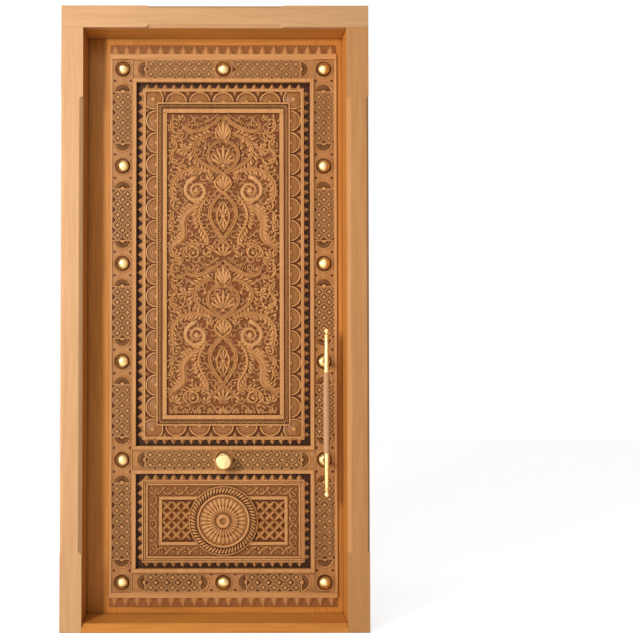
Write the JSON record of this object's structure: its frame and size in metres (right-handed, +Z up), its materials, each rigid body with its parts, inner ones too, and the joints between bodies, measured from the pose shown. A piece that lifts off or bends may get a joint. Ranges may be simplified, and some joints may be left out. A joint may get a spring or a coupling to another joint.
{
  "type": "carved entrance door with frame",
  "caption": "Carved timber entrance door in a cased frame: arabesque upper panel, rosette lower panel, brass studs, knob and long pull handle, hinged to open inwards.",
  "frame": {"origin": "on the floor under the threshold, midway between the jambs, in the plane of the casing's back (the wall face)", "axes": "+X to the right seen from outside, +Y into the building, +Z up"},
  "size_m": [1.084, 0.2303, 2.201],
  "materials": {
    "casing_wood": "satin varnish",
    "plain_wood": "satin varnish",
    "carved_wood": "satin varnish",
    "grip_wood": "smooth varnish",
    "brass": "polished",
    "steel": "brushed",
    "seal_rubber": "matte"
  },
  "bodies": {
    "frame": {"jamb_hinge": "plain_wood", "jamb_lock": "plain_wood", "jamb_head": "plain_wood", "threshold": "plain_wood", "casing_leg_hinge": "casing_wood", "casing_leg_lock": "casing_wood", "casing_head": "casing_wood", "rebate_seal": "seal_rubber", "strike_plate": "steel", "keep_block": "plain_wood", "hinge_frame_flaps": "steel"},
    "leaf": {"bottom_rail": "plain_wood", "carved_column_hinge": "carved_wood", "carved_column_lock": "carved_wood", "centre_knob": "brass", "frieze_bottom": "carved_wood", "frieze_lock": "carved_wood", "frieze_top": "carved_wood", "handle_grip": "grip_wood", "handle_lower_fitting": "brass", "handle_upper_fitting": "brass", "hinge_leaf_flaps": "steel", "hinge_stile": "plain_wood", "lock_case": "steel", "lock_rail": "plain_wood", "lock_stile": "plain_wood", "lower_dentil_bottom": "carved_wood", "lower_dentil_left": "carved_wood", "lower_dentil_right": "carved_wood", "lower_dentil_top": "carved_wood", "lower_panel": "carved_wood", "rosette": "carved_wood", "studs": "brass", "thumbturn_rose": "brass", "tooth_strip_bottom": "carved_wood", "tooth_strip_top": "carved_wood", "top_rail": "plain_wood", "upper_dentil_bottom": "carved_wood", "upper_dentil_left": "carved_wood", "upper_dentil_right": "carved_wood", "upper_dentil_top": "carved_wood", "upper_panel": "carved_wood", "upper_scallop_bottom": "carved_wood", "upper_scallop_left": "carved_wood", "upper_scallop_right": "carved_wood", "upper_scallop_top": "carved_wood"},
    "thumbturn": {"thumbturn": "brass"},
    "deadbolt": {"deadbolt": "steel"}
  },
  "joints": [
    {"name": "leaf_swing", "type": "hinge", "parent": "frame", "child": "leaf", "pos_m": [-0.4755, 0.1835, 1.0775], "axis": [0, 0, 1], "range_deg": [0, 105]},
    {"name": "thumbturn_turn", "type": "hinge", "parent": "leaf", "child": "thumbturn", "pos_m": [0.413, 0.19, 1.05], "axis": [0, 1, 0], "range_deg": [0, 90]},
    {"name": "deadbolt_throw", "type": "slide", "parent": "leaf", "child": "deadbolt", "axis": [1, 0, 0], "range_m": [0, 0.02]}
  ],
  "couplings": [
    {"joint": "deadbolt_throw", "follows": "thumbturn_turn", "m_per_rad": 0.012732}
  ]
}
